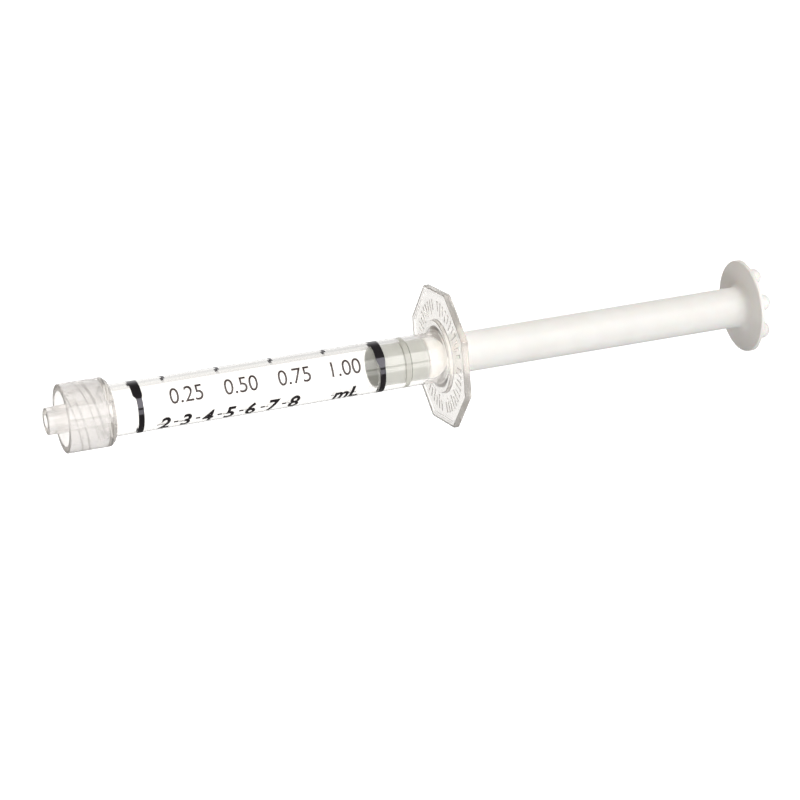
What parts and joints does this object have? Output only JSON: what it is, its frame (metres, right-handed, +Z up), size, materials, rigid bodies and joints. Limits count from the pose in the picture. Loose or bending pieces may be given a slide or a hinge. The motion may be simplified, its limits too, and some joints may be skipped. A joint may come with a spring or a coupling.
{
  "type": "disposable dental syringe",
  "caption": "Small clear syringe with a Luer-lock nozzle, octagonal finger flange, sliding piston and white round plunger, for dental pastes and gels.",
  "frame": {"origin": "centre of the nozzle's open end, on the axis of the syringe", "axes": "+X along the axis, from the nozzle towards the thumb disc; +Z up, square to one flat of the octagonal flange; the print faces -Y"},
  "size_m": [0.1121, 0.0202, 0.0202],
  "materials": {
    "clear_barrel": "clear moulded plastic, glossy",
    "black_ink": "printed ink",
    "brown_ink": "thin printed ink",
    "grey_piston": "translucent grey moulded plastic",
    "seal_ring": "pale elastomer",
    "white_plunger": "opaque white moulded plastic, satin"
  },
  "bodies": {
    "barrel": {"barrel": "clear_barrel", "front_band_print": "black_ink", "rear_band_print": "black_ink", "scale_ticks_print": "black_ink", "volume_figures_print": "brown_ink", "tenths_figures_print": "black_ink"},
    "piston": {"piston": "grey_piston", "o_ring": "seal_ring"},
    "plunger": {"plunger_rod": "white_plunger"}
  },
  "joints": [
    {"name": "plunger_slide", "type": "slide", "parent": "barrel", "child": "piston", "axis": [1, 0, 0], "range_m": [-0.0392, 0.006]},
    {"name": "plunger_spin", "type": "hinge", "parent": "piston", "child": "plunger", "pos_m": [0.0543, 0, 0], "axis": [1, 0, 0], "continuous": true}
  ]
}
